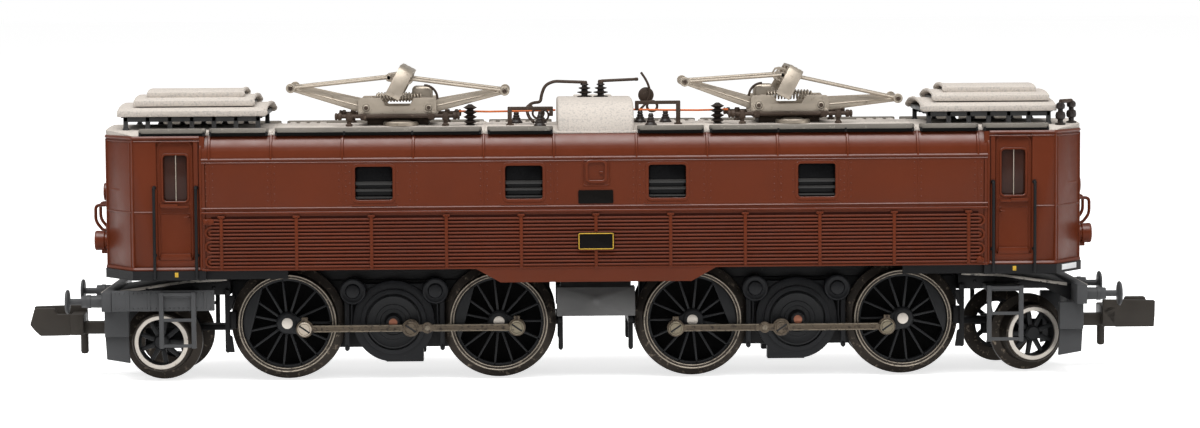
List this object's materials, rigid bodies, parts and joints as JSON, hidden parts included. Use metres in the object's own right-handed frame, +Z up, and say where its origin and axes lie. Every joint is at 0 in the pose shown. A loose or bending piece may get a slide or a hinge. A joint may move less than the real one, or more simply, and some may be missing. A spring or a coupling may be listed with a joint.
{
  "type": "scale model electric locomotive, 1:160",
  "caption": "Small-scale model of a box-cab electric locomotive with two diamond pantographs, rod-driven spoked wheels on swivelling bogies, carrying trucks at the ends and hook couplers.",
  "frame": {"origin": "middle of the model's length and width, on the surface under the wheel flanges", "axes": "+X along the locomotive towards the end that has the insulator pair, +Z up, -Y the side seen first"},
  "size_m": [0.1112, 0.0194, 0.0307],
  "materials": {
    "brown_plastic": "satin reddish-brown paint over moulded plastic",
    "roof_plastic": "matt light grey, finely speckled",
    "strip_grey": "matt mid grey, worn paler on the edges",
    "dark_plastic": "matt black",
    "grey_plastic": "satin dark grey",
    "window": "dark smoked clear plastic",
    "plate_black": "blank gloss black plate",
    "ballast": "cast zinc alloy block",
    "insulator": "dark brown insulators",
    "conductor": "weathered brown conductors",
    "red_wire": "orange-red wire",
    "nickel": "nickel-plated sheet and wire, slightly warm",
    "blackened_steel": "chemically blackened metal with brighter tyre edges",
    "rod_metal": "dull bronze-brown metal"
  },
  "bodies": {
    "body": {"body_shell": "brown_plastic", "roof": "roof_plastic", "roof_edge_strips": "strip_grey", "roof_box": "roof_plastic", "glazing": "window", "cooling_pipes": "brown_plastic", "cab_handrails": "dark_plastic", "front_handrails": "brown_plastic", "headlamps": "brown_plastic", "blank_plates": "plate_black", "underframe": "dark_plastic", "centre_box": "grey_plastic", "chassis_block": "ballast", "resistor_covers": "roof_plastic", "resistor_grids": "dark_plastic", "roof_insulators": "insulator", "roof_conductors": "conductor", "red_conductor": "red_wire", "roof_brackets": "conductor", "pantograph_beams": "dark_plastic", "left_pantograph_base": "nickel", "right_pantograph_base": "nickel"},
    "left_bogie": {"left_bogie_frame": "dark_plastic", "left_gear_cover": "grey_plastic", "left_end_frame": "grey_plastic", "left_buffers": "grey_plastic", "left_coupler": "dark_plastic"},
    "left_truck": {"left_truck": "dark_plastic"},
    "left_truck_wheels": {"left_truck_wheels": "blackened_steel"},
    "left_outer_axle": {"left_outer_axle": "blackened_steel"},
    "left_inner_axle": {"left_inner_axle": "blackened_steel"},
    "left_jackshaft": {"left_jackshaft": "blackened_steel"},
    "left_near_rod": {"left_near_rod": "rod_metal"},
    "left_far_rod": {"left_far_rod": "rod_metal"},
    "right_bogie": {"right_bogie_frame": "dark_plastic", "right_gear_cover": "grey_plastic", "right_end_frame": "grey_plastic", "right_buffers": "grey_plastic", "right_coupler": "dark_plastic"},
    "right_truck": {"right_truck": "dark_plastic"},
    "right_truck_wheels": {"right_truck_wheels": "blackened_steel"},
    "right_outer_axle": {"right_outer_axle": "blackened_steel"},
    "right_inner_axle": {"right_inner_axle": "blackened_steel"},
    "right_jackshaft": {"right_jackshaft": "blackened_steel"},
    "right_near_rod": {"right_near_rod": "rod_metal"},
    "right_far_rod": {"right_far_rod": "rod_metal"},
    "left_lower_arm_outer": {"left_lower_arm_outer": "nickel"},
    "left_upper_arm_outer": {"left_upper_arm_outer": "nickel"},
    "left_lower_arm_inner": {"left_lower_arm_inner": "nickel"},
    "left_upper_arm_inner": {"left_upper_arm_inner": "nickel"},
    "left_collector": {"left_collector": "nickel"},
    "right_lower_arm_outer": {"right_lower_arm_outer": "nickel"},
    "right_upper_arm_outer": {"right_upper_arm_outer": "nickel"},
    "right_lower_arm_inner": {"right_lower_arm_inner": "nickel"},
    "right_upper_arm_inner": {"right_upper_arm_inner": "nickel"},
    "right_collector": {"right_collector": "nickel"}
  },
  "joints": [
    {"name": "left_bogie_swivel", "type": "hinge", "parent": "body", "child": "left_bogie", "pos_m": [-0.01972, 0, 0], "axis": [0, 0, 1], "range_deg": [-5, 5]},
    {"name": "left_truck_swing", "type": "hinge", "parent": "left_bogie", "child": "left_truck", "pos_m": [-0.03412, 0, 0.0038], "axis": [0, 0, 1], "range_deg": [-10, 16]},
    {"name": "left_truck_wheel_spin", "type": "hinge", "parent": "left_truck", "child": "left_truck_wheels", "pos_m": [-0.04201, 0.00041, 0.0038], "axis": [0.0523, 0.9986, 0], "continuous": true},
    {"name": "left_outer_axle_spin", "type": "hinge", "parent": "left_bogie", "child": "left_outer_axle", "pos_m": [-0.03001, 0, 0.0056], "axis": [0, 1, 0], "continuous": true},
    {"name": "left_inner_axle_spin", "type": "hinge", "parent": "left_bogie", "child": "left_inner_axle", "pos_m": [-0.00943, 0, 0.0056], "axis": [0, 1, 0], "continuous": true},
    {"name": "left_jackshaft_spin", "type": "hinge", "parent": "left_bogie", "child": "left_jackshaft", "pos_m": [-0.01972, 0, 0.0056], "axis": [0, 1, 0], "continuous": true},
    {"name": "left_near_rod_pin", "type": "hinge", "parent": "left_outer_axle", "child": "left_near_rod", "pos_m": [-0.02827, -0.0066, 0.00513], "axis": [0, 1, 0], "continuous": true},
    {"name": "left_far_rod_pin", "type": "hinge", "parent": "left_outer_axle", "child": "left_far_rod", "pos_m": [-0.02954, 0.0066, 0.00734], "axis": [0, 1, 0], "continuous": true},
    {"name": "right_bogie_swivel", "type": "hinge", "parent": "body", "child": "right_bogie", "pos_m": [0.01972, 0, 0], "axis": [0, 0, 1], "range_deg": [-5, 5]},
    {"name": "right_truck_swing", "type": "hinge", "parent": "right_bogie", "child": "right_truck", "pos_m": [0.03412, 0, 0.0038], "axis": [0, 0, 1], "range_deg": [-26, 0]},
    {"name": "right_truck_wheel_spin", "type": "hinge", "parent": "right_truck", "child": "right_truck_wheels", "pos_m": [0.04182, 0.00178, 0.0038], "axis": [0.225, -0.9744, 0], "continuous": true},
    {"name": "right_outer_axle_spin", "type": "hinge", "parent": "right_bogie", "child": "right_outer_axle", "pos_m": [0.03001, 0, 0.0056], "axis": [0, 1, 0], "continuous": true},
    {"name": "right_inner_axle_spin", "type": "hinge", "parent": "right_bogie", "child": "right_inner_axle", "pos_m": [0.00943, 0, 0.0056], "axis": [0, 1, 0], "continuous": true},
    {"name": "right_jackshaft_spin", "type": "hinge", "parent": "right_bogie", "child": "right_jackshaft", "pos_m": [0.01972, 0, 0.0056], "axis": [0, 1, 0], "continuous": true},
    {"name": "right_near_rod_pin", "type": "hinge", "parent": "right_outer_axle", "child": "right_near_rod", "pos_m": [0.02834, -0.0066, 0.00493], "axis": [0, 1, 0], "continuous": true},
    {"name": "right_far_rod_pin", "type": "hinge", "parent": "right_outer_axle", "child": "right_far_rod", "pos_m": [0.02934, 0.0066, 0.00727], "axis": [0, 1, 0], "continuous": true},
    {"name": "left_pantograph_lift", "type": "hinge", "parent": "body", "child": "left_lower_arm_outer", "pos_m": [-0.02225, 0, 0.0264], "axis": [0, 1, 0], "range_deg": [0, 44]},
    {"name": "left_outer_knuckle", "type": "hinge", "parent": "left_lower_arm_outer", "child": "left_upper_arm_outer", "pos_m": [-0.02959, 0, 0.02837], "axis": [0, -1, 0], "range_deg": [0, 82.4]},
    {"name": "left_inner_arm_lift", "type": "hinge", "parent": "body", "child": "left_lower_arm_inner", "pos_m": [-0.01615, 0, 0.0264], "axis": [0, -1, 0], "range_deg": [0, 36.43]},
    {"name": "left_inner_knuckle", "type": "hinge", "parent": "left_lower_arm_inner", "child": "left_upper_arm_inner", "pos_m": [-0.00872, 0, 0.02798], "axis": [0, 1, 0], "range_deg": [0, 78.87]},
    {"name": "left_collector_tilt", "type": "hinge", "parent": "left_upper_arm_outer", "child": "left_collector", "pos_m": [-0.02005, 0, 0.02935], "axis": [0, 1, 0], "range_deg": [0, 39.03]},
    {"name": "right_pantograph_lift", "type": "hinge", "parent": "body", "child": "right_lower_arm_outer", "pos_m": [0.02225, 0, 0.0264], "axis": [0, -1, 0], "range_deg": [0, 44]},
    {"name": "right_outer_knuckle", "type": "hinge", "parent": "right_lower_arm_outer", "child": "right_upper_arm_outer", "pos_m": [0.02983, 0, 0.027], "axis": [0, 1, 0], "range_deg": [0, 72.93]},
    {"name": "right_inner_arm_lift", "type": "hinge", "parent": "body", "child": "right_lower_arm_inner", "pos_m": [0.01615, 0, 0.0264], "axis": [0, 1, 0], "range_deg": [0, 31.3]},
    {"name": "right_inner_knuckle", "type": "hinge", "parent": "right_lower_arm_inner", "child": "right_upper_arm_inner", "pos_m": [0.00892, 0, 0.02875], "axis": [0, -1, 0], "range_deg": [0, 71.41]},
    {"name": "right_collector_tilt", "type": "hinge", "parent": "right_upper_arm_outer", "child": "right_collector", "pos_m": [0.0201, 0, 0.02915], "axis": [0, -1, 0], "range_deg": [0, 31.3]}
  ],
  "couplings": [
    {"joint": "left_inner_axle_spin", "follows": "left_outer_axle_spin", "ratio": 1},
    {"joint": "left_jackshaft_spin", "follows": "left_outer_axle_spin", "ratio": 1},
    {"joint": "left_near_rod_pin", "follows": "left_outer_axle_spin", "ratio": -1},
    {"joint": "left_far_rod_pin", "follows": "left_outer_axle_spin", "ratio": -1},
    {"joint": "right_inner_axle_spin", "follows": "right_outer_axle_spin", "ratio": 1},
    {"joint": "right_jackshaft_spin", "follows": "right_outer_axle_spin", "ratio": 1},
    {"joint": "right_near_rod_pin", "follows": "right_outer_axle_spin", "ratio": -1},
    {"joint": "right_far_rod_pin", "follows": "right_outer_axle_spin", "ratio": -1},
    {"joint": "left_outer_knuckle", "follows": "left_pantograph_lift", "ratio": 1.8613},
    {"joint": "left_inner_arm_lift", "follows": "left_pantograph_lift", "ratio": 0.8166},
    {"joint": "left_inner_knuckle", "follows": "left_pantograph_lift", "ratio": 1.7812},
    {"joint": "left_collector_tilt", "follows": "left_pantograph_lift", "ratio": 0.8757},
    {"joint": "right_outer_knuckle", "follows": "right_pantograph_lift", "ratio": 1.6461},
    {"joint": "right_inner_arm_lift", "follows": "right_pantograph_lift", "ratio": 0.7},
    {"joint": "right_inner_knuckle", "follows": "right_pantograph_lift", "ratio": 1.6116},
    {"joint": "right_collector_tilt", "follows": "right_pantograph_lift", "ratio": 0.7}
  ]
}
